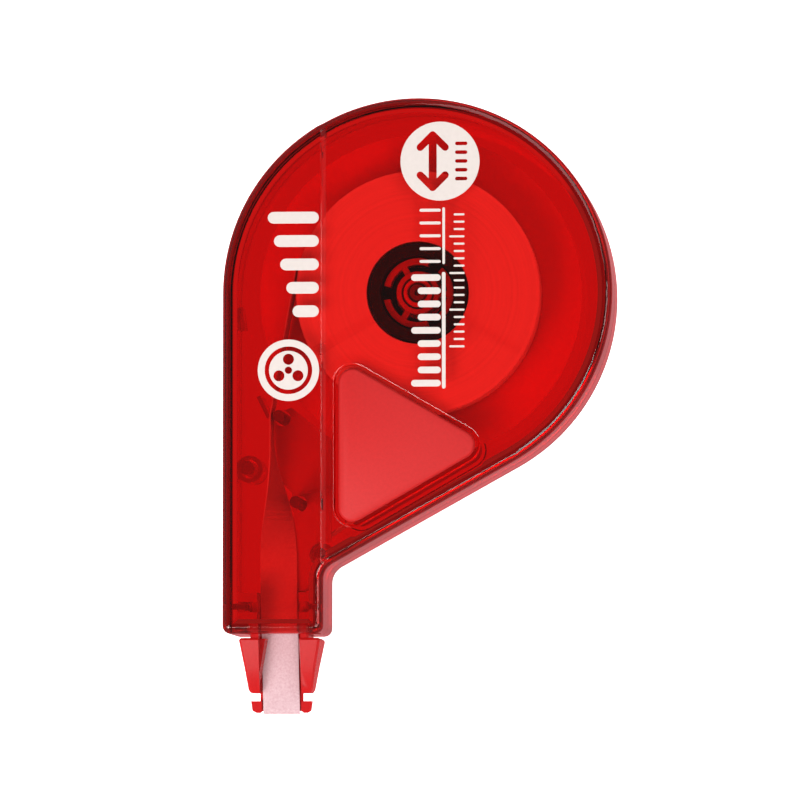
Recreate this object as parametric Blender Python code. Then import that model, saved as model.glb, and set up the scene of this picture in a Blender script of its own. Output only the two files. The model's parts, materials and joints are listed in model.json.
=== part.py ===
"""A correction tape roller: a flat P-shaped dispenser with two coaxial reels, a neck and a transfer head.

It lies on its rear face. The reel axis is the Z axis, +Y points to the round end and -Y to the tip of
the head. The front layer holds the supply roll and the rear layer the take-up reel.
"""

import math

import bmesh
import bpy
from mathutils import Matrix, Vector

MM = 0.001
GAP = 0.3 * MM  # clearance between pieces that touch

# Casing outline, seen from the front, with the reel axis at the origin.
BODY_R = 26.6 * MM
NECK_RIGHT = -12.8 * MM
NECK_BOTTOM = -46.5 * MM
DIAGONAL = -60.8  # direction of the diagonal edge's outward normal, in degrees
CORNER_R = 1.1 * MM
NOTCH_R = 2.6 * MM
RIM_R = 1.1 * MM  # rounding between the side walls and the faces

# Heights through the casing.
STRIP_TOP = 16.0 * MM  # the neck strip stands proud of the round body
BODY_TOP = 15.5 * MM
CEILING = 14.3 * MM
SEAM = 8.0 * MM
FLOOR = 1.2 * MM
WALL = 1.4 * MM
LAP = 1.0 * MM
RISER_HIGH_X = -13.06 * MM
RISER_LOW_X = -12.46 * MM

# Grip pads, rounded equilateral triangles that point away from the neck.
GRIP_CENTRE = Vector((-3.87, -20.85)) * MM
GRIP_INRADIUS = 6.83 * MM
GRIP_CORNER_R = 1.9 * MM
WELL_GROW = 0.5 * MM
WELL_BORDER = 2.0 * MM
WELL_DEPTH = 0.8 * MM
WELL_MOUTH_R = 0.35 * MM

# Reels.
TAPE_WIDTH = 5.0 * MM
RIBBON = 0.2 * MM  # thickness of the solids that stand for the tape and its liner
AXLE_R = 1.1 * MM
HUB_BORE_R = 1.4 * MM
HUB_NECK_R = 1.95 * MM
HUB_R = 2.9 * MM
DRUM_R = 19.0 * MM
FLANGE_R = 22.1 * MM
DRUM_BOTTOM = 1.8 * MM
FLANGE_BOTTOM = 7.4 * MM
FLANGE_TOP = 8.1 * MM
HUB_SHOULDER = 8.9 * MM
HUB_TOP = 13.4 * MM
LINER_BUILD = 0.5 * MM
CORE_R = 6.7 * MM
CORE_BORE_R = 5.1 * MM
CORE_WEB_BORE_R = 3.3 * MM
CORE_BOTTOM = 8.55 * MM
CORE_TOP = 13.85 * MM
ROLL_R = 16.65 * MM
ROLL_BOTTOM = 8.7 * MM
ARM_R = 4.8 * MM
ARM_T = 0.85 * MM
ARM_SPAN = 96  # degrees
ARM_TOP = 12.4 * MM
ARM_DIRECTIONS = (119, -1, -121)

# Fittings in the neck.
UPPER_PIN = Vector((-19.0, -16.75)) * MM
LOWER_PIN = Vector((-16.7, -28.5)) * MM
PIN_R = 0.8 * MM
LEFT_BOSS = Vector((-23.6, -23.7)) * MM
RIGHT_BOSS = Vector((-13.4, -35.5)) * MM
LEFT_BOSS_R = 1.87 * MM
RIGHT_BOSS_R = 1.55 * MM
BOSS_WALL = 0.58 * MM
PLATE_BOTTOM = 7.6 * MM
PLATE_TOP = 8.1 * MM

# Transfer head.
HEAD_X = -19.1 * MM
HEAD_Z = 8.0 * MM
BLADE_TOP_Y = -40.9 * MM
BLADE_T = 0.6 * MM
BLADE_TIP_R = 0.17 * MM
TIP_Y = -56.7 * MM  # centre of the tip's rounding
FIN_IN = 2.85 * MM
FIN_NECK = 4.0 * MM
ENTRY_DRIFT = 0.35 * MM  # how far left of the head's middle the tape enters it
FLANGES_Y = (-44.8 * MM, -42.1 * MM)
HEAD_FLANGE_T = 1.3 * MM
TWIST_START_Y = -19.5 * MM
TWIST_STEPS = 32  # stations down the neck, along which each ribbon turns a quarter

ROUND_STEPS = 72


def clear_scene():
    for obj in list(bpy.data.objects):
        bpy.data.objects.remove(obj, do_unlink=True)


def material(name, colour, roughness, metallic=0.0, transmission=0.0):
    mat = bpy.data.materials.new(name)
    mat.use_nodes = True
    shader = mat.node_tree.nodes["Principled BSDF"]
    shader.inputs["Base Color"].default_value = (*colour, 1)
    shader.inputs["Roughness"].default_value = roughness
    shader.inputs["Metallic"].default_value = metallic
    shader.inputs["Transmission Weight"].default_value = transmission
    mat.diffuse_color = (*colour, 1)
    return mat


def finish(name, bm, mat, location=(0, 0, 0)):
    """Turns a bmesh into a named object with outward faces."""
    bmesh.ops.recalc_face_normals(bm, faces=bm.faces[:])
    mesh = bpy.data.meshes.new(name)
    bm.to_mesh(mesh)
    bm.free()
    mesh.materials.append(mat)
    mesh.shade_smooth()
    mesh.set_sharp_from_angle(angle=math.radians(35))
    obj = bpy.data.objects.new(name, mesh)
    obj.location = location
    bpy.context.collection.objects.link(obj)
    return obj


def helper(name, bm):
    """A solid that only shapes another one."""
    obj = finish(name, bm, material(name, (0.5, 0.5, 0.5), 0.5))
    obj.hide_render = True
    obj.display_type = "WIRE"
    return obj


def combine(obj, other, operation):
    modifier = obj.modifiers.new(other.name, "BOOLEAN")
    modifier.operation = operation
    modifier.solver = "EXACT"
    modifier.object = other


def add_to(obj, name, build):
    bm = bmesh.new()
    build(bm)
    combine(obj, helper(name, bm), "UNION")


def cut_from(obj, name, build):
    bm = bmesh.new()
    build(bm)
    combine(obj, helper(name, bm), "DIFFERENCE")


def arc(centre, radius, start, end, steps):
    """Points of an arc, its angles in degrees."""
    angles = [math.radians(start + (end - start) * i / steps) for i in range(steps + 1)]
    return [(centre[0] + radius * math.cos(a), centre[1] + radius * math.sin(a)) for a in angles]


def loft(bm, loops, closed=False):
    """Joins loops of equally many points, and caps the first and the last unless they join too."""
    rings = [[bm.verts.new(p) for p in loop] for loop in loops]
    pairs = list(zip(rings, rings[1:]))
    if closed:
        pairs.append((rings[-1], rings[0]))
    for low, high in pairs:
        for i in range(len(low)):
            j = (i + 1) % len(low)
            bm.faces.new((low[i], low[j], high[j], high[i]))
    if not closed:
        bm.faces.new(rings[0])
        bm.faces.new(rings[-1])
    return rings


def prism(bm, points, bottom, top):
    loft(bm, [[(x, y, z) for x, y in points] for z in (bottom, top)])


def box(bm, x_range, y_range, z_range):
    corners = [(x_range[i], y_range[j]) for i, j in ((0, 0), (1, 0), (1, 1), (0, 1))]
    prism(bm, corners, *z_range)


def cylinder(bm, centre, radius, bottom, top, steps=24):
    prism(bm, arc(centre, radius, 0, 360 - 360 / steps, steps - 1), bottom, top)


def lathe(bm, profile, centre=(0, 0), steps=ROUND_STEPS):
    """Turns a closed profile of (radius, height) points round a vertical axis."""
    loops = []
    for i in range(steps):
        turn = Matrix.Rotation(2 * math.pi * i / steps, 3, "Z")
        loops.append([turn @ Vector((r, 0, z)) + Vector((*centre, 0)) for r, z in profile])
    loft(bm, loops, closed=True)


def tube(bm, centre, inner, outer, bottom, top, steps=24):
    profile = [(inner, bottom), (outer, bottom), (outer, top), (inner, top)]
    lathe(bm, profile, centre, steps)


def turned(name, profile, mat):
    bm = bmesh.new()
    lathe(bm, profile)
    return finish(name, bm, mat)


def notch_centre():
    """Centre of the hollow rounding where the neck meets the diagonal edge."""
    x = NECK_RIGHT + NOTCH_R
    normal = math.radians(DIAGONAL)
    y = (BODY_R + NOTCH_R - x * math.cos(normal)) / math.sin(normal)
    return x, y


def outline(inset):
    """The casing's outline moved inwards, counter-clockwise, as its low part and its raised strip."""
    hollow = notch_centre()
    hollow_r = NOTCH_R + inset
    reach = max(inset, RIM_R)
    foot = math.degrees(math.acos((RISER_LOW_X - hollow[0]) / (NOTCH_R + reach)))
    foot = max(foot, DIAGONAL + 181)
    crest = math.degrees(math.acos((RISER_HIGH_X - hollow[0]) / (NOTCH_R + reach)))
    round_foot = math.degrees(math.acos(RISER_LOW_X / (BODY_R - reach)))
    round_crest = math.degrees(math.acos(RISER_HIGH_X / (BODY_R - reach)))
    corner = max(CORNER_R - inset, 0.2 * MM)
    left = -BODY_R + inset + corner
    right = NECK_RIGHT - inset - corner
    bottom = NECK_BOTTOM + inset + corner
    low = arc(hollow, hollow_r, foot, DIAGONAL + 180, 3)
    low += arc((0, 0), BODY_R - inset, DIAGONAL, round_foot, 72)
    strip = arc((0, 0), BODY_R - inset, round_crest, 180, 24)
    strip += arc((left, bottom), corner, 180, 270, 4)
    strip += arc((right, bottom), corner, 270, 360, 4)
    strip += arc(hollow, hollow_r, 180, crest, 5)
    return low, strip


def casing_loop(inset, low_z, strip_z=None):
    low, strip = outline(inset)
    strip_z = low_z if strip_z is None else strip_z
    return [(x, y, low_z) for x, y in low] + [(x, y, strip_z) for x, y in strip]


def rounding(steps=5):
    """Inset and rise of each step of the rim's rounding."""
    angles = [math.pi / 2 * i / steps for i in range(steps + 1)]
    return [(RIM_R * (1 - math.cos(a)), RIM_R * math.sin(a)) for a in angles]


def grip_outline(grow):
    points = []
    for corner in (0, 120, 240):
        reach = 2 * (GRIP_INRADIUS - GRIP_CORNER_R)
        spread = math.radians(corner)
        centre = GRIP_CENTRE + reach * Vector((math.cos(spread), math.sin(spread)))
        points += arc(centre, GRIP_CORNER_R + grow, corner - 60, corner + 60, 8)
    return points


def well_cutter(bm, seat, face):
    """Cuts a grip pad's well from its seat out through the face, with a rounded mouth."""
    side = 1 if face > seat else -1
    loops = [(WELL_GROW, seat)]
    for step in range(5):
        turn = math.pi / 2 * step / 4
        grow = WELL_GROW + WELL_MOUTH_R * (1 - math.cos(turn))
        loops.append((grow, face - side * WELL_MOUTH_R * (1 - math.sin(turn))))
    loops.append((WELL_GROW + WELL_MOUTH_R, face + side * 1 * MM))
    loft(bm, [[(x, y, z) for x, y in grip_outline(grow)] for grow, z in loops])


def neck_ribs(bm, bottom, top):
    """Ribs on the neck's side walls that sit between the head's two flanges."""
    rib_y = (FLANGES_Y[0] + HEAD_FLANGE_T + GAP, FLANGES_Y[1] - GAP)
    clear = FIN_NECK + GAP
    box(bm, (-BODY_R + WALL / 2, HEAD_X - clear), rib_y, (bottom, top))
    box(bm, (HEAD_X + clear, NECK_RIGHT - WALL / 2), rib_y, (bottom, top))


def head_slot(bm):
    side = FIN_NECK + GAP
    y_range = (NECK_BOTTOM - 1 * MM, NECK_BOTTOM + WALL + 0.1 * MM)
    box(bm, (HEAD_X - side, HEAD_X + side), y_range, (3.7 * MM, 12.3 * MM))


def reel_ribs(bm):
    """Three radial ribs under the front face that keep the roll in its layer."""
    for direction in (90, 210, 330):
        turn = Matrix.Rotation(math.radians(direction), 3, "Z")
        corners = [(3.4, -0.6), (16.0, -0.6), (16.0, 0.6), (3.4, 0.6)]
        points = [(turn @ Vector((x, y, 0)) * MM).to_2d() for x, y in corners]
        prism(bm, points, CORE_TOP + 0.2 * MM, CEILING + WALL / 2)


def front_pins(bm):
    """The axle's socket and the two pins that press into the rear cover's bosses."""
    root = CEILING + WALL / 2
    tube(bm, (0, 0), AXLE_R + GAP, AXLE_R + GAP + 0.45 * MM, HUB_TOP + GAP, root, 32)
    for centre, radius in ((LEFT_BOSS, LEFT_BOSS_R), (RIGHT_BOSS, RIGHT_BOSS_R)):
        cylinder(bm, centre, radius - BOSS_WALL - GAP, 4 * MM, root)


def step_face(bm, ring):
    """Replaces the many-sided face on a ring with a low face, a raised one and the riser between them."""
    bmesh.ops.delete(bm, geom=[f for f in ring[0].link_faces if len(f.verts) > 4], context="FACES_ONLY")
    low_count = len(outline(0)[0])
    bm.faces.new(ring[:low_count])
    bm.faces.new(ring[low_count:])
    bm.faces.new((ring[0], ring[low_count - 1], ring[low_count], ring[-1]))


def front_cover(mat):
    lap_outer = WALL - 0.5 * MM - GAP
    lap_top = SEAM + LAP + GAP
    seam = SEAM + 0.1 * MM
    corner = 0.6 * MM
    rise = STRIP_TOP - BODY_TOP
    loops = [casing_loop(WALL + corner, CEILING, CEILING + rise)]
    loops += [casing_loop(WALL, CEILING - corner, CEILING - corner + rise)]
    loops += [casing_loop(WALL, lap_top), casing_loop(lap_outer, lap_top)]
    loops += [casing_loop(lap_outer, seam), casing_loop(0, seam)]
    for inset, lift in rounding():
        loops.append(casing_loop(inset, BODY_TOP - RIM_R + lift, STRIP_TOP - RIM_R + lift))
    bm = bmesh.new()
    rings = loft(bm, loops)
    step_face(bm, rings[0])
    step_face(bm, rings[-1])
    cover = finish("front_cover", bm, mat)
    border = grip_outline(WELL_BORDER)
    add_to(cover, "front_well_border", lambda b: prism(b, border, CEILING - GAP, CEILING + 0.5 * MM))
    add_to(cover, "reel_ribs", reel_ribs)
    add_to(cover, "front_pins", front_pins)
    add_to(cover, "front_neck_ribs", lambda b: neck_ribs(b, lap_top, CEILING + WALL / 2))
    cut_from(cover, "front_well", lambda b: well_cutter(b, BODY_TOP - WELL_DEPTH, BODY_TOP))
    cut_from(cover, "front_slot", head_slot)
    return cover


def snap_hooks(bm):
    """Tongues inside the rim that hook the covers together."""
    for direction in (187, 42, -31):
        turn = Matrix.Rotation(math.radians(direction), 3, "Z")
        inner = BODY_R - WALL - 0.7 * MM
        outer = BODY_R - WALL + 0.25 * MM
        half = 1.5 * MM
        corners = [(inner, -half), (outer, -half), (outer, half), (inner, half)]
        points = [(turn @ Vector((x, y, 0))).to_2d() for x, y in corners]
        prism(bm, points, 5 * MM, SEAM + LAP - 0.2 * MM)


def entry_fence(bm):
    """A thin wall left of the upper pin that keeps the liner's layer clear of the tape's way in."""
    corners = [(-22.6, -13.8), (-22.1, -13.6), (-20.7, -16.5), (-21.2, -16.7)]
    prism(bm, [(x * MM, y * MM) for x, y in corners], FLOOR / 2, PLATE_TOP)


def rear_bosses(bm):
    root = FLOOR / 2
    for centre, radius in ((LEFT_BOSS, LEFT_BOSS_R), (RIGHT_BOSS, RIGHT_BOSS_R)):
        tube(bm, centre, radius - BOSS_WALL, radius, root, SEAM)
    for centre in (UPPER_PIN, LOWER_PIN):
        tube(bm, centre, PIN_R + GAP, PIN_R + GAP + 0.5 * MM, root, 2.6 * MM)
    tube(bm, (0, 0), 2.6 * MM, 3.3 * MM, root, 2.0 * MM, 32)


def rear_cover(mat):
    seam = SEAM - 0.15 * MM
    corner = 0.6 * MM
    lip_outer = WALL - 0.5 * MM
    loops = [casing_loop(WALL + corner, FLOOR), casing_loop(WALL, FLOOR + corner)]
    loops += [casing_loop(WALL, SEAM + LAP), casing_loop(lip_outer, SEAM + LAP)]
    loops += [casing_loop(lip_outer, seam), casing_loop(0, seam)]
    for inset, rise in rounding():
        loops.append(casing_loop(inset, RIM_R - rise))
    bm = bmesh.new()
    loft(bm, loops)
    cover = finish("rear_cover", bm, mat)
    border = grip_outline(WELL_BORDER)
    add_to(cover, "rear_well_border", lambda b: prism(b, border, FLOOR - 0.5 * MM, FLOOR + GAP))
    add_to(cover, "rear_bosses", rear_bosses)
    add_to(cover, "entry_fence", entry_fence)
    add_to(cover, "snap_hooks", snap_hooks)
    add_to(cover, "rear_neck_ribs", lambda b: neck_ribs(b, FLOOR / 2, seam))
    cut_from(cover, "rear_well", lambda b: well_cutter(b, WELL_DEPTH, 0))
    cut_from(cover, "rear_slot", head_slot)
    return cover


def grip_pad(name, seat, face, crown, mat):
    """A pad from its seat to its face, with an eased edge that ends in a crown."""
    side = 1 if face > seat else -1
    steps = [(0, seat), (0, face), (-0.12 * MM, face + side * crown * 0.6), (-0.4 * MM, face + side * crown)]
    bm = bmesh.new()
    loft(bm, [[(x, y, z) for x, y in grip_outline(grow)] for grow, z in steps])
    return finish(name, bm, mat)


def reel_axle(mat):
    foot = FLOOR + GAP
    profile = [(0.45 * MM, foot), (2.3 * MM, foot), (2.3 * MM, 2.1 * MM), (AXLE_R, 2.1 * MM)]
    profile += [(AXLE_R, CEILING - GAP), (0.45 * MM, CEILING - GAP)]
    return turned("reel_axle", profile, mat)


def take_up_reel(mat):
    hub_bottom = 2.4 * MM
    drum_in = DRUM_R - 1 * MM
    profile = [(HUB_BORE_R, hub_bottom), (HUB_R, hub_bottom), (HUB_R, FLANGE_BOTTOM)]
    profile += [(drum_in, FLANGE_BOTTOM), (drum_in, DRUM_BOTTOM), (DRUM_R, DRUM_BOTTOM)]
    profile += [(DRUM_R, FLANGE_BOTTOM), (FLANGE_R, FLANGE_BOTTOM), (FLANGE_R, FLANGE_TOP)]
    profile += [(HUB_R, FLANGE_TOP), (HUB_R, HUB_SHOULDER), (HUB_NECK_R, HUB_SHOULDER)]
    profile += [(HUB_NECK_R, HUB_TOP), (HUB_BORE_R, HUB_TOP)]
    return turned("take_up_reel", profile, mat)


def liner_winding(mat):
    inner = DRUM_R + GAP
    bottom = liner_z() - TAPE_WIDTH / 2
    top = liner_z() + TAPE_WIDTH / 2
    outer = inner + LINER_BUILD
    return turned("liner_winding", [(inner, bottom), (outer, bottom), (outer, top), (inner, top)], mat)


def liner_z():
    return (FLOOR + 2 * GAP + FLANGE_BOTTOM) / 2


def roll_z():
    return ROLL_BOTTOM + TAPE_WIDTH / 2


def supply_core(mat):
    web_top = CORE_BOTTOM + 0.65 * MM
    profile = [(CORE_WEB_BORE_R, CORE_BOTTOM), (CORE_R, CORE_BOTTOM), (CORE_R, CORE_TOP)]
    profile += [(CORE_BORE_R, CORE_TOP), (CORE_BORE_R, web_top), (CORE_WEB_BORE_R, web_top)]
    return turned("supply_core", profile, mat)


def tape_roll(mat):
    inner = CORE_R + GAP
    top = ROLL_BOTTOM + TAPE_WIDTH
    profile = [(inner, ROLL_BOTTOM), (ROLL_R, ROLL_BOTTOM), (ROLL_R, top), (inner, top)]
    return turned("tape_roll", profile, mat)


def spring_arms(bm):
    """Three curved spring arms, each on a short stem."""
    for direction in ARM_DIRECTIONS:
        start = direction - ARM_SPAN / 2
        end = direction + ARM_SPAN / 2
        outer = arc((0, 0), ARM_R, start, end, 14)
        inner = arc((0, 0), ARM_R - ARM_T, end, start, 14)
        prism(bm, outer + inner, 9.8 * MM, ARM_TOP)


def arm_stems(bm):
    for direction in ARM_DIRECTIONS:
        turn = Matrix.Rotation(math.radians(direction), 3, "Z")
        corners = [(2.6, -0.4), (4.4, -0.4), (4.4, 0.4), (2.6, 0.4)]
        points = [(turn @ Vector((x, y, 0)) * MM).to_2d() for x, y in corners]
        prism(bm, points, 10 * MM, ARM_TOP - 0.2 * MM)


def clutch_spider(mat):
    """A ring on the take-up hub whose arms rub on the inside of the supply core."""
    bottom = HUB_SHOULDER + GAP
    bm = bmesh.new()
    tube(bm, (0, 0), HUB_NECK_R + GAP, HUB_R, bottom, HUB_TOP, ROUND_STEPS)
    spider = finish("clutch_spider", bm, mat)
    add_to(spider, "arm_stems", arm_stems)
    add_to(spider, "spring_arms", spring_arms)
    return spider


def guide_pin(name, place, mat):
    bm = bmesh.new()
    cylinder(bm, (0, 0), PIN_R, FLOOR + GAP, CEILING - GAP)
    return finish(name, bm, mat, (place.x, place.y, 0))


def guide_plate(mat):
    """A flat plate that keeps the tape's layer apart from the liner's in the neck."""
    corners = [(-20.3, -16.2), (-17.8, -15.3), (-12.3, -19.6), (-12.3, -33.4), (-14.6, -37.6), (-14.6, -40.4)]
    corners += [(-17.5, -40.4), (-17.5, -30.4), (-17.7, -27.0), (-19.6, -25.0), (-20.5, -19.5)]
    bm = bmesh.new()
    prism(bm, [(x * MM, y * MM) for x, y in corners], PLATE_BOTTOM, PLATE_TOP)
    plate = finish("guide_plate", bm, mat)
    rib = [(-16.6, -27.3), (-12.5, -26.5), (-12.5, -26.25), (-16.65, -27.05)]
    rib = [(x * MM, y * MM) for x, y in rib]
    add_to(plate, "plate_rib", lambda b: prism(b, rib, PLATE_BOTTOM, PLATE_TOP + 0.3 * MM))

    def openings(b):
        cylinder(b, UPPER_PIN, PIN_R + GAP, PLATE_BOTTOM - 1 * MM, PLATE_TOP + 1 * MM)
        cylinder(b, LOWER_PIN, PIN_R + GAP, PLATE_BOTTOM - 1 * MM, PLATE_TOP + 1 * MM)
        cylinder(b, RIGHT_BOSS, RIGHT_BOSS_R + GAP, PLATE_BOTTOM - 1 * MM, PLATE_TOP + 1 * MM, 32)

    cut_from(plate, "plate_openings", openings)
    return plate


def fin_section(side, x_in, x_out, half_height, y):
    """One section across a fin of the head: a rectangle with its corners cut."""
    cut = 0.3 * MM
    near = x_in
    far = x_out - cut
    low = HEAD_Z - half_height
    high = HEAD_Z + half_height
    points = [(near, low), (far, low), (x_out, low + cut), (x_out, high - cut), (far, high), (near, high)]
    return [(HEAD_X + side * x, y, z) for x, z in points]


def head_fin(bm, side):
    """A side fin: narrow through the casing's slot, then a shoulder that tapers to the notch."""
    shoulder = NECK_BOTTOM - 0.45 * MM
    end = -54.4 * MM
    sections = [(FIN_NECK, 4.0 * MM, BLADE_TOP_Y), (FIN_NECK, 4.0 * MM, shoulder)]
    sections += [(5.3 * MM, 4.1 * MM, shoulder - 0.01 * MM), (5.55 * MM, 4.3 * MM, shoulder - 0.3 * MM)]
    sections += [(4.85 * MM, 3.4 * MM, -51.0 * MM), (4.4 * MM, 2.3 * MM, -54.0 * MM), (4.1 * MM, 2.0 * MM, end)]
    loft(bm, [fin_section(side, FIN_IN, x_out, half, y) for x_out, half, y in sections])


def fin_lips(bm):
    """Lips on the fins' front edges that reach over the tape near the casing and run out downwards."""
    shoulder = NECK_BOTTOM - 0.5 * MM
    root = FIN_IN + 0.3 * MM
    for side, reach, end_y in ((-1, 1.8 * MM, -52.6 * MM), (1, 2.35 * MM, -53.6 * MM)):
        loops = []
        for z, ease in ((9.2 * MM, 0), (10.6 * MM, 0.25 * MM)):
            inner_end = FIN_IN - 0.1 * MM + ease
            corners = [(reach + ease, shoulder), (root, shoulder), (root, end_y), (inner_end, end_y)]
            loops.append([(HEAD_X + side * x, y, z) for x, y in corners])
        loft(bm, loops)


def blade_half(y):
    """Half the blade's thickness: even at first, then tapering to the tip."""
    taper_start = -50.0 * MM
    share = min(max((taper_start - y) / (taper_start - TIP_Y), 0), 1)
    return BLADE_T / 2 + share * (BLADE_TIP_R - BLADE_T / 2)


def head_blade(bm):
    half_width = FIN_IN + 0.1 * MM
    rows = [BLADE_TOP_Y, -50.0 * MM, TIP_Y]
    upper = [(y, HEAD_Z + blade_half(y)) for y in rows]
    lower = [(y, HEAD_Z - blade_half(y)) for y in reversed(rows)]
    tip = arc((TIP_Y, HEAD_Z), BLADE_TIP_R, 90, 270, 6)[1:-1]
    section = upper + tip + lower
    loft(bm, [[(x, y, z) for y, z in section] for x in (HEAD_X - half_width, HEAD_X + half_width)])


def head_flange(bm, y):
    """A flange across the neck that the casing's ribs hold."""
    left = -BODY_R + WALL + GAP
    right = NECK_RIGHT - WALL - GAP
    box(bm, (left, right), (y, y + HEAD_FLANGE_T), (FLOOR + 2 * GAP, CEILING - 2 * GAP))


def head_windows(bm):
    """The way for the tape, open to the front, and the window for the liner behind the blade."""
    reach = 4.9 * MM
    clear = BLADE_T / 2 + 0.1 * MM
    x_range = (HEAD_X - FIN_IN, HEAD_X + FIN_IN)
    y_range = (FLANGES_Y[0] - 0.2 * MM, FLANGES_Y[1] + HEAD_FLANGE_T + 0.2 * MM)
    box(bm, x_range, y_range, (HEAD_Z + clear, BODY_TOP))
    box(bm, x_range, y_range, (HEAD_Z - reach, HEAD_Z - clear))


def tip_ears(bm):
    """Two small ears beside the tape at the tip."""
    for side in (-1, 1):
        corners = [(2.7, -55.5), (4.2, -55.5), (4.0, -56.8), (3.5, -57.1), (3.0, -57.1), (2.7, -56.8)]
        points = [(HEAD_X + side * x * MM, y * MM) for x, y in corners]
        prism(bm, points, HEAD_Z - 0.7 * MM, HEAD_Z + 0.75 * MM)


def transfer_head(mat):
    bm = bmesh.new()
    head_blade(bm)
    head = finish("transfer_head", bm, mat)
    add_to(head, "left_fin", lambda b: head_fin(b, -1))
    add_to(head, "right_fin", lambda b: head_fin(b, 1))
    add_to(head, "fin_lips", fin_lips)
    add_to(head, "lower_flange", lambda b: head_flange(b, FLANGES_Y[0]))
    add_to(head, "upper_flange", lambda b: head_flange(b, FLANGES_Y[1]))
    add_to(head, "tip_ears", tip_ears)
    cut_from(head, "head_windows", head_windows)
    return head


def ribbon(name, stations, mat):
    """A thin strip of tape through stations of centre, direction across and direction along."""
    loops = []
    for centre, across, along in stations:
        half = across.normalized() * TAPE_WIDTH / 2
        normal = along.cross(across).normalized() * RIBBON / 2
        left = centre - half
        right = centre + half
        loops.append([left - normal, right - normal, right + normal, left + normal])
    bm = bmesh.new()
    rings = [[bm.verts.new(point) for point in loop] for loop in loops]
    bm.faces.new(rings[0])
    bm.faces.new(rings[-1])
    for low, high in zip(rings, rings[1:]):
        # The two wide sides fold along the same diagonal, so a twisted strip keeps its thickness.
        for corners in ((low[0], low[1], high[1]), (low[0], high[1], high[0])):
            bm.faces.new(corners)
        for corners in ((low[3], high[2], low[2]), (low[3], high[3], high[2])):
            bm.faces.new(corners)
        bm.faces.new((low[1], low[2], high[2], high[1]))
        bm.faces.new((low[3], low[0], high[0], high[3]))
    return finish(name, bm, mat)


def with_directions(points):
    """Adds to each (centre, across) the direction along the path there."""
    stations = []
    for i, (centre, across) in enumerate(points):
        before = points[max(i - 1, 0)][0]
        after = points[min(i + 1, len(points) - 1)][0]
        stations.append((centre, across, (after - before).normalized()))
    return stations


def tangent_angle(roll_r, pin, pin_r):
    """For a tangent of a roll at the origin and of a pin: the way to the pin, and from it to the normal."""
    towards = math.degrees(math.atan2(pin.y, pin.x)) % 360
    return towards, math.degrees(math.acos((roll_r - pin_r) / pin.length))


def smooth(share):
    share = min(max(share, 0), 1)
    return share * share * (3 - 2 * share)


def tape_lead():
    """From the roll's left side, past the upper pin on its left."""
    run_r = ROLL_R + GAP + RIBBON / 2
    pin_r = PIN_R + GAP + RIBBON / 2
    towards, opening = tangent_angle(run_r, UPPER_PIN, pin_r)
    normal = towards - opening
    up = Vector((0, 0, 1))
    points = [(Vector((*p, roll_z())), up) for p in arc((0, 0), run_r, normal - 6, normal, 2)]
    points += [(Vector((*p, roll_z())), up) for p in arc(UPPER_PIN, pin_r, normal, 178, 2)]
    return points


def tape_twist(entry_x, face_z):
    """Down the neck, turning from on edge to flat on the blade, its front edge going to the left."""
    points = []
    end_y = BLADE_TOP_Y
    for i in range(1, TWIST_STEPS + 1):
        along = i / TWIST_STEPS
        y = TWIST_START_Y + (end_y - TWIST_START_Y) * along
        share = smooth(along)
        angle = math.pi / 2 * share
        across = Vector((-math.sin(angle), 0, math.cos(angle)))
        x = entry_x + (HEAD_X - ENTRY_DRIFT - entry_x) * smooth(2 * along)
        z = roll_z() + (face_z - roll_z()) * share
        points.append((Vector((x, y, z)), across))
    return points


def tip_turn(start, end, steps):
    """Round the blade's tip; 90 degrees is the front and 270 the rear."""
    radius = BLADE_TIP_R + 0.2 * MM + RIBBON / 2
    turn = arc((TIP_Y, HEAD_Z), radius, start, end, steps)
    return [(Vector((HEAD_X, y, z)), Vector((-1, 0, 0))) for y, z in turn]


def face_point(y, side, drift=0.0):
    """A point of the tape's middle on the blade's front (side 1) or rear (side -1)."""
    lift = blade_half(y) + 0.25 * MM + RIBBON / 2
    return Vector((HEAD_X - drift, y, HEAD_Z + side * lift)), Vector((-1, 0, 0))


def tape_run(mat):
    points = tape_lead()
    entry_x = points[-1][0].x
    points += [(Vector((entry_x, TWIST_START_Y, roll_z())), Vector((0, 0, 1)))]
    points += tape_twist(entry_x, face_point(BLADE_TOP_Y, 1)[0].z)
    for share in (0.3, 0.55, 0.8):
        y = BLADE_TOP_Y + (TIP_Y - BLADE_TOP_Y) * share
        points.append(face_point(y, 1, ENTRY_DRIFT * (1 - share)))
    points += tip_turn(90, 200, 5)
    return ribbon("tape_run", with_directions(points), mat)


def liner_run(mat):
    """From behind the tip up to the right boss, then to the drum, its front edge coming from the left."""
    boss_r = RIGHT_BOSS_R + GAP + RIBBON / 2
    drum_r = DRUM_R + GAP + LINER_BUILD + GAP + RIBBON / 2
    towards, opening = tangent_angle(drum_r, RIGHT_BOSS, -boss_r)
    normal = towards + opening
    middle = liner_z()
    up = Vector((0, 0, 1))
    points = [face_point(y, -1) for y in (TIP_Y, -54 * MM, -50 * MM, -46 * MM, -42.4 * MM)]
    start = points[-1][0]
    arrive = Vector((*arc(RIGHT_BOSS, boss_r, 165, 165, 1)[0], middle))
    for i in range(1, TWIST_STEPS):
        share = i / TWIST_STEPS
        ease = smooth(share)
        angle = math.pi / 2 * ease
        centre = start.lerp(arrive, share)
        centre.x = start.x + (arrive.x - start.x) * ease
        centre.z = arrive.z + (start.z - arrive.z) * (1 - share) ** 2
        points.append((centre, Vector((-math.cos(angle), 0, math.sin(angle)))))
    points += [(Vector((*p, middle)), up) for p in arc(RIGHT_BOSS, boss_r, 165, normal - 180, 3)]
    points += [(Vector((*p, middle)), up) for p in arc((0, 0), drum_r, normal - 360, normal - 352, 2)]
    return ribbon("liner_run", with_directions(points), mat)


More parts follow.
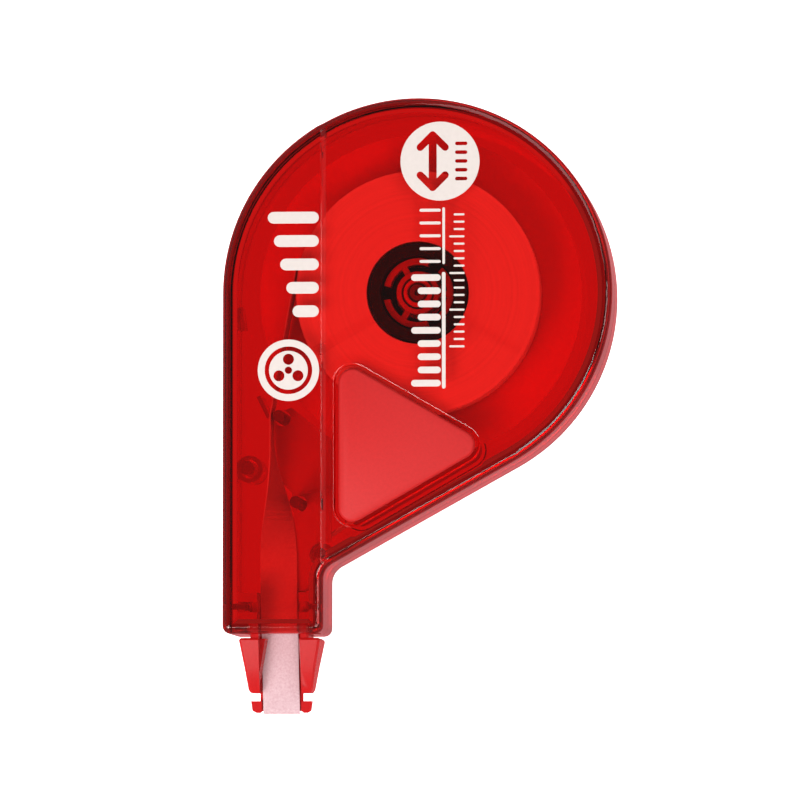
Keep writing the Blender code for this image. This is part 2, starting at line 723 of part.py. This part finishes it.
def build():
    clear_scene()
    red = (0.62, 0.01, 0.012)
    front_cover(material("clear_red_front", red, 0.08, transmission=0.9))
    rear_cover(material("clear_red_rear", red, 0.08, transmission=0.9))
    pad_red = (0.72, 0.05, 0.05)
    front_seat = BODY_TOP - WELL_DEPTH + GAP
    grip_pad("front_grip_pad", front_seat, BODY_TOP, 0.4 * MM, material("pad_red_front", pad_red, 0.5))
    rear_seat = WELL_DEPTH - GAP
    grip_pad("rear_grip_pad", rear_seat, 0.2 * MM, 0.2 * MM, material("pad_red_rear", pad_red, 0.5))
    reel_axle(material("axle_red", (0.3, 0.01, 0.01), 0.25, transmission=0.5))
    take_up_reel(material("reel_red", (0.5, 0.01, 0.01), 0.2, transmission=0.5))
    liner_winding(material("liner_wound", (0.85, 0.82, 0.76), 0.5))
    supply_core(material("core_black", (0.012, 0.012, 0.014), 0.4))
    tape_roll(material("roll_white", (0.9, 0.9, 0.9), 0.6))
    clutch_spider(material("spider_red", (0.6, 0.02, 0.02), 0.25))
    guide_pin("upper_guide_pin", UPPER_PIN, material("upper_pin_red", (0.2, 0.005, 0.008), 0.3))
    guide_pin("lower_guide_pin", LOWER_PIN, material("lower_pin_red", (0.2, 0.005, 0.008), 0.3))
    guide_plate(material("plate_red", (0.35, 0.01, 0.015), 0.3))
    transfer_head(material("head_red", (0.75, 0.07, 0.07), 0.4))
    tape_run(material("tape_white", (0.92, 0.9, 0.9), 0.5))
    liner_run(material("liner_clear", (0.85, 0.82, 0.76), 0.4))


build()
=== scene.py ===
"""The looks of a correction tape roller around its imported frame: covers, reels, tape and print."""
import json
import math

import bmesh
import bpy
from mathutils import Matrix, Vector

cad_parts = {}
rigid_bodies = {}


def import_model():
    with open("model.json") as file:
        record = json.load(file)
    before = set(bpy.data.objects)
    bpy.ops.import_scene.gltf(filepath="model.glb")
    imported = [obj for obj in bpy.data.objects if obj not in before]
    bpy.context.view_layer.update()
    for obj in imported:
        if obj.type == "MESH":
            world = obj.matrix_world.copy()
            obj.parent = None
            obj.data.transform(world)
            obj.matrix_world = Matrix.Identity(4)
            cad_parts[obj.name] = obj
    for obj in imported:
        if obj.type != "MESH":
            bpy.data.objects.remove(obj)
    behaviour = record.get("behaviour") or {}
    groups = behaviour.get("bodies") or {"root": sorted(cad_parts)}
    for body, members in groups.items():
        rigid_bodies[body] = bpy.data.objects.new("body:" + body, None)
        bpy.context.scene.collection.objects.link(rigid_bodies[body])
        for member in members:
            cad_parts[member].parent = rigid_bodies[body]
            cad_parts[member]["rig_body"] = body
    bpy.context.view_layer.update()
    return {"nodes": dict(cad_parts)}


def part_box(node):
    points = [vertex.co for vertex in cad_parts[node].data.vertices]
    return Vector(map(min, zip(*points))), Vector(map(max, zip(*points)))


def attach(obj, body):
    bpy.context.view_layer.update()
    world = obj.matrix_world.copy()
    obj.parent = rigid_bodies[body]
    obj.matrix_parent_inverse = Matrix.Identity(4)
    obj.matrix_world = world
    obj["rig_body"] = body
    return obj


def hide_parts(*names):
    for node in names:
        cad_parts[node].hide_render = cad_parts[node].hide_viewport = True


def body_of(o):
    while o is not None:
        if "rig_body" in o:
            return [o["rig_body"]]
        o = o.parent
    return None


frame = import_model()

MM = 0.001

# Camera: nearly square to the front face, a little to its right and below.
LOOK_AT = Vector((-2.3, -14.75, 15.5)) * MM
CAMERA_DISTANCE = 1.05
YAW = math.radians(4.6)
PITCH = math.radians(3.6)
FRAME_WIDTH = 108.84 * MM
SENSOR = 36.0

# Name, azimuth and elevation in degrees, distance and size in metres, power in watts.
SOFTBOXES = (
    ("key", 222, 50, 0.5, 0.3, 2.1),
    ("glint", 238, 48, 0.5, 0.05, 0.2),
    ("side", 2, 48, 0.5, 0.12, 0.2),
    ("top", 318, 68, 0.55, 0.2, 0.8),
    ("fill", 60, 50, 0.5, 0.35, 0.8),
)

# Heights and places in the frame, and the ink's thickness.
FACE_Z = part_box("front_grip_pad")[1].z
STRIP_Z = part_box("front_cover")[1].z
RISER_X = -12.76 * MM
RISER_EASE = 0.14 * MM
SHARP = math.radians(30)  # edges sharper than this stay sharp or are rounded
INK_T = 0.03 * MM
INK_LIFT = 0.01 * MM
CUT_T = 4 * INK_T
CLEAR_RED = (1, 0.03, 0.022)
CLEAR_DENSITY = 300
DARK_RED = (0.2, 0.004, 0.006)


# ---------------------------------------------------------------- scene


def add_camera():
    away = Vector((math.sin(YAW), -math.sin(PITCH), math.cos(YAW) * math.cos(PITCH))).normalized()
    right = Vector((0, 1, 0)).cross(away).normalized()
    up = away.cross(right)
    data = bpy.data.cameras.new("camera")
    data.sensor_width = SENSOR
    data.lens = SENSOR * CAMERA_DISTANCE / FRAME_WIDTH
    data.clip_start = 0.01
    data.clip_end = 20
    camera = bpy.data.objects.new("camera", data)
    turn = Matrix((right, up, away)).transposed().to_4x4()
    camera.matrix_world = Matrix.Translation(LOOK_AT + away * CAMERA_DISTANCE) @ turn
    bpy.context.scene.collection.objects.link(camera)
    bpy.context.scene.camera = camera


def add_world():
    world = bpy.data.worlds.new("studio")
    world.use_nodes = True
    nodes = world.node_tree.nodes
    links = world.node_tree.links
    coords = nodes.new("ShaderNodeTexCoord")
    split = nodes.new("ShaderNodeSeparateXYZ")
    ramp = nodes.new("ShaderNodeValToRGB")
    stops = ((0.0, 0.4), (0.3, 0.32), (0.6, 0.22), (0.85, 0.13), (1.0, 0.12))
    for _ in stops[2:]:
        ramp.color_ramp.elements.new(0.5)
    for element, (place, value) in zip(ramp.color_ramp.elements, stops):
        element.position = place
        element.color = (value, value, value, 1)
    links.new(coords.outputs["Generated"], split.inputs[0])
    links.new(split.outputs["Z"], ramp.inputs[0])
    links.new(ramp.outputs[0], nodes["Background"].inputs[0])
    bpy.context.scene.world = world


def add_softbox(name, azimuth, elevation, distance, size, power):
    """A square area light that looks at the object; azimuth 0 is the +X side, 90 the +Y side."""
    a = math.radians(azimuth)
    e = math.radians(elevation)
    away = Vector((math.cos(a) * math.cos(e), math.sin(a) * math.cos(e), math.sin(e)))
    data = bpy.data.lights.new(name, "AREA")
    data.size = size
    data.energy = power
    light = bpy.data.objects.new(name, data)
    turn = away.to_track_quat("Z", "Y").to_matrix().to_4x4()
    light.matrix_world = Matrix.Translation(LOOK_AT + away * distance) @ turn
    bpy.context.scene.collection.objects.link(light)


def add_floor():
    """A white card, lit to plain white for the camera, and a painted pinkish reflection of a red-tinted
    contact shadow in the body's own reflections of it.
    """
    bm = bmesh.new()
    bmesh.ops.create_grid(bm, x_segments=1, y_segments=1, size=3.0)
    mesh = bpy.data.meshes.new("floor")
    bm.to_mesh(mesh)
    bm.free()
    floor = bpy.data.objects.new("floor", mesh)
    floor.location.z = -0.02 * MM
    bpy.context.scene.collection.objects.link(floor)
    mat, nodes, links, shader = new_material("floor_card")
    shader.inputs["Base Color"].default_value = (0.9, 0.9, 0.9, 1)
    shader.inputs["Roughness"].default_value = 0.9
    shader.inputs["Specular IOR Level"].default_value = 0.1
    shader.inputs["Emission Color"].default_value = (1, 0.995, 0.99, 1)
    shader.inputs["Emission Strength"].default_value = 0.9
    # painted reflection: glossy rays see a pinkish glow, a painted red-tinted contact shadow, in place of
    # the white card
    painted_pink_shadow_reflection = nodes.new("ShaderNodeEmission")
    painted_pink_shadow_reflection.inputs["Color"].default_value = (0.72, 0.2, 0.21, 1)
    white = nodes.new("ShaderNodeEmission")
    white.inputs["Strength"].default_value = 0.2
    lifted = nodes.new("ShaderNodeAddShader")
    path = nodes.new("ShaderNodeLightPath")
    seen = nodes.new("ShaderNodeMixShader")
    mix = nodes.new("ShaderNodeMixShader")
    links.new(shader.outputs[0], lifted.inputs[0])
    links.new(white.outputs[0], lifted.inputs[1])
    links.new(path.outputs["Is Camera Ray"], seen.inputs[0])
    links.new(shader.outputs[0], seen.inputs[1])
    links.new(lifted.outputs[0], seen.inputs[2])
    links.new(path.outputs["Is Glossy Ray"], mix.inputs[0])
    links.new(seen.outputs[0], mix.inputs[1])
    links.new(painted_pink_shadow_reflection.outputs[0], mix.inputs[2])
    links.new(mix.outputs[0], nodes["Material Output"].inputs["Surface"])
    mat.cycles.emission_sampling = "NONE"
    mesh.materials.append(mat)


def set_view():
    scene = bpy.context.scene
    scene.view_settings.view_transform = "Standard"
    scene.view_settings.look = "None"
    scene.cycles.max_bounces = 24
    scene.cycles.transmission_bounces = 24
    scene.cycles.transparent_max_bounces = 24
    scene.cycles.glossy_bounces = 8
    scene.cycles.diffuse_bounces = 5


# ---------------------------------------------------------------- materials


def new_material(name):
    mat = bpy.data.materials.new(name)
    mat.use_nodes = True
    nodes = mat.node_tree.nodes
    return mat, nodes, mat.node_tree.links, nodes["Principled BSDF"]


def add_bump(nodes, links, shader, height, strength, distance):
    bump = nodes.new("ShaderNodeBump")
    bump.inputs["Strength"].default_value = strength
    bump.inputs["Distance"].default_value = distance
    links.new(height, bump.inputs["Height"])
    links.new(bump.outputs[0], shader.inputs["Normal"])


def add_noise(nodes, links, scale, detail=2.0, roughness=0.5):
    coords = nodes.new("ShaderNodeTexCoord")
    tex = nodes.new("ShaderNodeTexNoise")
    tex.inputs["Scale"].default_value = scale
    tex.inputs["Detail"].default_value = detail
    tex.inputs["Roughness"].default_value = roughness
    links.new(coords.outputs["Object"], tex.inputs["Vector"])
    return tex


def add_ramp(nodes, links, factor, stops):
    ramp = nodes.new("ShaderNodeValToRGB")
    for _ in stops[2:]:
        ramp.color_ramp.elements.new(0.5)
    for element, (place, colour) in zip(ramp.color_ramp.elements, stops):
        element.position = place
        element.color = (*colour, 1)
    links.new(factor, ramp.inputs[0])
    return ramp


def clear_plastic(name, depth_tint):
    """See-through red plastic: red at its surface, darker where it is deep, and open to the lamps' rays."""
    mat, nodes, links, shader = new_material(name)
    shader.inputs["Base Color"].default_value = (*CLEAR_RED, 1)
    shader.inputs["Roughness"].default_value = 0.03
    shader.inputs["IOR"].default_value = 1.5
    shader.inputs["Transmission Weight"].default_value = 1
    waves = add_noise(nodes, links, 160, 1.0)
    add_bump(nodes, links, shader, waves.outputs[0], 0.008, 0.00005)
    clear = nodes.new("ShaderNodeBsdfTransparent")
    clear.inputs[0].default_value = (0.92, 0.92, 0.92, 1)
    path = nodes.new("ShaderNodeLightPath")
    inner = nodes.new("ShaderNodeMixShader")
    outer = nodes.new("ShaderNodeMixShader")
    links.new(path.outputs["Is Diffuse Ray"], inner.inputs[0])
    links.new(shader.outputs[0], inner.inputs[1])
    links.new(clear.outputs[0], inner.inputs[2])
    links.new(path.outputs["Is Shadow Ray"], outer.inputs[0])
    links.new(inner.outputs[0], outer.inputs[1])
    links.new(clear.outputs[0], outer.inputs[2])
    links.new(outer.outputs[0], nodes["Material Output"].inputs["Surface"])
    volume = nodes.new("ShaderNodeVolumeAbsorption")
    volume.inputs["Color"].default_value = (*depth_tint, 1)
    volume.inputs["Density"].default_value = CLEAR_DENSITY
    links.new(volume.outputs[0], nodes["Material Output"].inputs["Volume"])
    return mat


def solid_plastic(name, colour, roughness, gloss, grain=0.15, subsurface=0.0):
    mat, nodes, links, shader = new_material(name)
    shader.inputs["Specular IOR Level"].default_value = gloss
    shader.inputs["Roughness"].default_value = roughness
    shader.inputs["IOR"].default_value = 1.5
    tone = add_noise(nodes, links, 2200, 6.0, 0.75)
    darker = tuple(c * 0.86 for c in colour)
    shade = add_ramp(nodes, links, tone.outputs[0], ((0.3, darker), (0.7, colour)))
    links.new(shade.outputs[0], shader.inputs["Base Color"])
    fine = add_noise(nodes, links, 9000, 2.0)
    add_bump(nodes, links, shader, fine.outputs[0], grain, 0.00005)
    if subsurface:
        shader.inputs["Subsurface Weight"].default_value = subsurface
        shader.inputs["Subsurface Radius"].default_value = (0.002, 0.0004, 0.0004)
        shader.inputs["Subsurface Scale"].default_value = 1
    return mat


def wound_tape(name, colour):
    """The roll's side: fine rings of the wound turns round the axle."""
    mat, nodes, links, shader = new_material(name)
    coords = nodes.new("ShaderNodeTexCoord")
    split = nodes.new("ShaderNodeSeparateXYZ")
    links.new(coords.outputs["Object"], split.inputs[0])
    flat = nodes.new("ShaderNodeCombineXYZ")
    links.new(split.outputs["X"], flat.inputs["X"])
    links.new(split.outputs["Y"], flat.inputs["Y"])
    radius = nodes.new("ShaderNodeVectorMath")
    radius.operation = "LENGTH"
    links.new(flat.outputs[0], radius.inputs[0])
    rings = nodes.new("ShaderNodeTexNoise")
    rings.noise_dimensions = "1D"
    rings.inputs["Scale"].default_value = 2600
    rings.inputs["Detail"].default_value = 4
    links.new(radius.outputs["Value"], rings.inputs["W"])
    darker = tuple(c * 0.93 for c in colour)
    shade = add_ramp(nodes, links, rings.outputs[0], ((0.35, darker), (0.65, colour)))
    links.new(shade.outputs[0], shader.inputs["Base Color"])
    shader.inputs["Roughness"].default_value = 0.6
    add_bump(nodes, links, shader, rings.outputs[0], 0.1, 0.00002)
    return mat


def film(name, colour, mottle):
    mat, nodes, links, shader = new_material(name)
    cloud = add_noise(nodes, links, 3200, 4.0, 0.7)
    shade = add_ramp(nodes, links, cloud.outputs[0], ((0.35, mottle), (0.65, colour)))
    links.new(shade.outputs[0], shader.inputs["Base Color"])
    shader.inputs["Roughness"].default_value = 0.45
    add_bump(nodes, links, shader, cloud.outputs[0], 0.15, 0.00008)
    return mat


def ink(name):
    mat, nodes, links, shader = new_material(name)
    tone = add_noise(nodes, links, 1500, 3.0)
    stops = ((0.3, (0.68, 0.6, 0.56)), (0.7, (0.71, 0.63, 0.59)))
    shade = add_ramp(nodes, links, tone.outputs[0], stops)
    links.new(shade.outputs[0], shader.inputs["Base Color"])
    shader.inputs["Roughness"].default_value = 0.55
    add_bump(nodes, links, shader, tone.outputs[0], 0.1, 0.00002)
    return mat


# ---------------------------------------------------------------- pieces


def ease_riser(bm):
    """Rounds the long edges at the crest and the foot of the step beside the neck strip."""
    edges = []
    for edge in bm.edges:
        ends = [vert.co for vert in edge.verts]
        if edge.calc_length() > 20 * MM and min(co.z for co in ends) > FACE_Z - 0.3 * MM:
            if max(abs(co.x - RISER_X) for co in ends) < 0.6 * MM:
                edges.append(edge)
    bmesh.ops.bevel(bm, geom=edges, offset=RISER_EASE, segments=3, profile=0.5, affect="EDGES")


def refined(node, mat, bevel=0.0, ease=None):
    """A smooth-shaded copy of a CAD node, shown in its place, with its edges rounded if bevel is set."""
    bm = bmesh.new()
    bm.from_mesh(frame["nodes"][node].data)
    bmesh.ops.remove_doubles(bm, verts=bm.verts[:], dist=0.002 * MM)
    bmesh.ops.dissolve_limit(
        bm, angle_limit=math.radians(0.5), verts=bm.verts[:], edges=bm.edges[:]
    )
    if ease:
        ease(bm)
    mesh = bpy.data.meshes.new(node + "_look")
    bm.to_mesh(mesh)
    bm.free()
    mesh.materials.append(mat)
    if mesh.has_custom_normals:
        mesh.attributes.remove(mesh.attributes["custom_normal"])
    mesh.shade_smooth()
    piece = bpy.data.objects.new(node + "_look", mesh)
    bpy.context.scene.collection.objects.link(piece)
    if bevel:
        round_off = piece.modifiers.new("rounded_edges", "BEVEL")
        round_off.width = bevel
        round_off.segments = 2
        round_off.limit_method = "ANGLE"
        round_off.angle_limit = SHARP
        round_off.harden_normals = True
        round_off.use_clamp_overlap = True
    else:
        mesh.set_sharp_from_angle(angle=SHARP)
        even = piece.modifiers.new("even_normals", "WEIGHTED_NORMAL")
        even.keep_sharp = True
    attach(piece, body_of(frame["nodes"][node])[0])
    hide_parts(node)


def linked(name, bm, mat=None):
    """Turns a bmesh into an object of the scene."""
    bmesh.ops.recalc_face_normals(bm, faces=bm.faces[:])
    mesh = bpy.data.meshes.new(name)
    bm.to_mesh(mesh)
    bm.free()
    if mat:
        mesh.materials.append(mat)
    obj = bpy.data.objects.new(name, mesh)
    bpy.context.scene.collection.objects.link(obj)
    return obj


def raised(name, outlines, bottom, thickness, mat=None):
    """Flat shapes, given in millimetres: each closed outline raised from bottom by the thickness."""
    bm = bmesh.new()
    for outline in outlines:
        low = [bm.verts.new((x * MM, y * MM, bottom)) for x, y in outline]
        high = [bm.verts.new((x * MM, y * MM, bottom + thickness)) for x, y in outline]
        bm.faces.new(low)
        bm.faces.new(high)
        for i in range(len(low)):
            j = (i + 1) % len(low)
            bm.faces.new((low[i], low[j], high[j], high[i]))
    return linked(name, bm, mat)


def circle(centre, radius, steps=64):
    x, y = centre
    turns = [math.tau * i / steps for i in range(steps)]
    return [(x + radius * math.cos(t), y + radius * math.sin(t)) for t in turns]


def capsule(start, end, width, steps=8):
    """A bar with round ends between two points."""
    start = Vector(start)
    end = Vector(end)
    way = math.atan2(end.y - start.y, end.x - start.x)
    points = []
    for centre, first in ((end, way - math.pi / 2), (start, way + math.pi / 2)):
        for i in range(steps + 1):
            t = first + math.pi * i / steps
            points.append((centre.x + width / 2 * math.cos(t), centre.y + width / 2 * math.sin(t)))
    return points


def ring_cutter(name, centre, inner, outer, bottom):
    bm = bmesh.new()
    rings = []
    for radius in (inner, outer):
        for z in (bottom, bottom + CUT_T):
            rings.append([bm.verts.new((x * MM, y * MM, z)) for x, y in circle(centre, radius)])
    inner_low, inner_high, outer_low, outer_high = rings
    corners = (inner_low, inner_high, outer_high, outer_low, inner_low)
    for low, high in zip(corners, corners[1:]):
        for i in range(len(low)):
            j = (i + 1) % len(low)
            bm.faces.new((low[i], low[j], high[j], high[i]))
    return linked(name, bm)


def cut_away(piece, cutters):
    for cutter in cutters:
        cut = piece.modifiers.new("cut", "BOOLEAN")
        cut.operation = "DIFFERENCE"
        cut.solver = "EXACT"
        cut.object = cutter
    bpy.context.view_layer.update()
    graph = bpy.context.evaluated_depsgraph_get()
    mesh = bpy.data.meshes.new_from_object(piece.evaluated_get(graph))
    piece.modifiers.clear()
    piece.data = mesh
    for cutter in cutters:
        bpy.data.objects.remove(cutter)


def print_piece(name, outlines, face_z, mat, cutters=()):
    piece = raised(name, outlines, face_z + INK_LIFT, INK_T, mat)
    if cutters:
        cut_away(piece, cutters)
    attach(piece, "casing")


def print_reel_sign(mat):
    """A disc low on the strip with a three-holed reel cut out of it."""
    centre = Vector((-17.5, -10.65))
    disc_r = 4.2
    rim_inner, rim_outer = 2.65, 3.25
    axle_r = 0.5
    hole_r = 0.75
    hole_way = 1.5
    low = STRIP_Z + INK_LIFT - INK_T
    holes = [circle(centre, axle_r)]
    for turn in (90, 210, 330):
        way = Vector((math.cos(math.radians(turn)), math.sin(math.radians(turn))))
        holes.append(circle(centre + hole_way * way, hole_r))
    signs = [ring_cutter("sign_rim", centre, rim_inner, rim_outer, low)]
    signs += [raised("sign_hole", [hole], low, CUT_T) for hole in holes]
    print_piece("print_left_disc", [circle(centre, disc_r)], STRIP_Z, mat, signs)


def print_stepped_bars(mat):
    """Five bars up the strip, each longer than the last."""
    right = -14.15
    left = -16.15
    first_y, pitch = -2.6, 3.2
    growth = 0.85
    width = 1.6
    bars = []
    for step in range(5):
        y = first_y + pitch * step
        bars.append(capsule((left - growth * step, y), (right, y), width))
    print_piece("print_bars", bars, STRIP_Z, mat)


def print_span_sign(mat):
    """A disc near the top with a double arrow and a short scale cut out of it."""
    centre = (3.2, 17.8)
    disc_r = 5.4
    arrow_x = 2.2
    shaft = (14.5, 21.1)
    points = (14.2, 21.4)
    barb = 1.7
    tick_left, tick_right = 5.5, 6.7
    tick_y, tick_pitch = 15.4, 1.2
    low = FACE_Z + INK_LIFT - INK_T
    outlines = [capsule((arrow_x, shaft[0]), (arrow_x, shaft[1]), 1.1)]
    for point, way in zip(points, (1, -1)):
        for side in (-1, 1):
            tail = (arrow_x + side * barb, point + way * barb)
            outlines.append(capsule((arrow_x, point), tail, 1.0))
    for step in range(5):
        y = tick_y + tick_pitch * step
        outlines.append(capsule((tick_left, y), (tick_right, y), 0.5))
    signs = [raised("sign_span", [outline], low, CUT_T) for outline in outlines]
    print_piece("print_right_disc", [circle(centre, disc_r)], FACE_Z, mat, signs)


def ticks(count, left, right, first_y, pitch, width, every=0, extra=0.0):
    """A column of bars between left and right; each every-th reaches further left by extra."""
    bars = []
    for step in range(count):
        reach = extra if every and step % every == 0 else 0
        y = first_y + pitch * step
        bars.append(capsule((left - reach, y), (right, y), width))
    return bars


def print_ruler(mat):
    """A ruler over the reel: a line with thick ticks, a thin line with light ticks, and a fine scale."""
    line_x = 3.7
    marks = [capsule((line_x, -13.0), (line_x, 2.4), 0.5)]
    marks += ticks(9, 0.6, 2.85, -12.5, 1.8, 0.9, every=4, extra=0.9)
    marks.append(capsule((line_x, 3.9), (line_x, 11.3), 0.35))
    marks += ticks(5, 0.6, 3.1, 4.1, 1.75, 0.4)
    marks += ticks(19, 5.2, 6.4, -7.5, 1, 0.28, every=5, extra=0.6)
    print_piece("print_scale", marks, FACE_Z, mat)


def add_print(mat):
    """White print, in millimetres from the reel axle: plain signs only."""
    print_reel_sign(mat)
    print_stepped_bars(mat)
    print_span_sign(mat)
    print_ruler(mat)


# ---------------------------------------------------------------- build


def build():
    add_camera()
    add_world()
    for softbox in SOFTBOXES:
        add_softbox(*softbox)
    add_floor()
    set_view()
    front = clear_plastic("clear_red_front", (0.78, 0, 0))
    refined("front_cover", front, ease=ease_riser)
    refined("rear_cover", clear_plastic("clear_red_rear", (0.72, 0, 0)))
    pad = (0.59, 0.015, 0.015)
    refined("front_grip_pad", solid_plastic("pad_front", pad, 0.55, 0.25), 0.15 * MM)
    refined("rear_grip_pad", solid_plastic("pad_rear", pad, 0.55, 0.25), 0.1 * MM)
    head = solid_plastic("head", (0.54, 0.009, 0.01), 0.25, 0.25, 0.1, 0.1)
    refined("transfer_head", head, 0.08 * MM)
    refined("reel_axle", solid_plastic("axle", DARK_RED, 0.3, 0.3))
    refined("take_up_reel", solid_plastic("reel", (0.78, 0.01, 0.012), 0.35, 0.3))
    # the spider's darker red is partly its own tone and partly painted shade of the deep core around its
    # arms
    refined("clutch_spider", solid_plastic("spider", (0.5, 0.01, 0.012), 0.35, 0.3))
    refined("guide_plate", solid_plastic("plate", (0.58, 0.01, 0.012), 0.35, 0.3))
    refined("upper_guide_pin", solid_plastic("upper_pin", DARK_RED, 0.35, 0.3))
    refined("lower_guide_pin", solid_plastic("lower_pin", DARK_RED, 0.35, 0.3))
    refined("supply_core", solid_plastic("core", (0.009, 0.009, 0.009), 0.45, 0.15))
    refined("tape_roll", wound_tape("roll", (0.94, 0.92, 0.91)))
    refined("liner_winding", film("liner_wound", (0.8, 0.75, 0.7), (0.7, 0.66, 0.6)))
    # the tape's pink is painted light: red from the head behind showing through the thin white film
    refined("tape_run", film("tape", (0.68, 0.47, 0.49), (0.58, 0.34, 0.37)))
    refined("liner_run", film("liner", (0.7, 0.6, 0.55), (0.6, 0.5, 0.45)))
    add_print(ink("white_ink"))


build()
